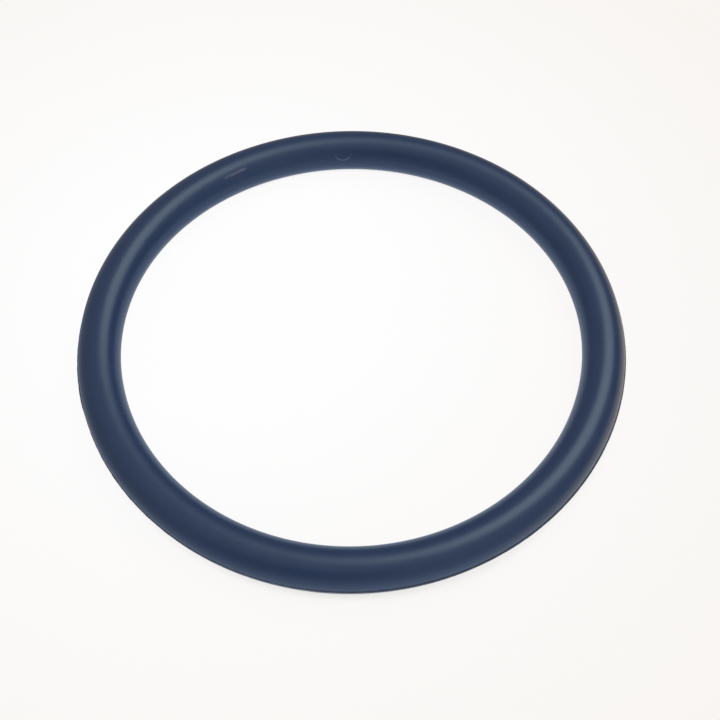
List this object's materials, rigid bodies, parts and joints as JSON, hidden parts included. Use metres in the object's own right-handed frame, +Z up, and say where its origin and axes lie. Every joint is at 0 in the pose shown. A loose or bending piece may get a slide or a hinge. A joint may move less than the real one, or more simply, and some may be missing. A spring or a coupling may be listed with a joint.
{
  "type": "rubber o-ring",
  "caption": "Moulded rubber sealing ring of round section, with a low trimmed flash line round its outside and its inside, lying flat.",
  "frame": {"origin": "centre of the ring on the flat surface that it lies on, so z = 0 touches the underside of the section", "axes": "+Z up along the ring's axis, +X to the right and +Y away from the viewer of the picture"},
  "size_m": [0.0688, 0.0688, 0.0053],
  "materials": {
    "rubber": "semi-matt moulded nitrile rubber, dark navy blue"
  },
  "bodies": {
    "root": {"o_ring": "rubber"}
  },
  "joints": []
}
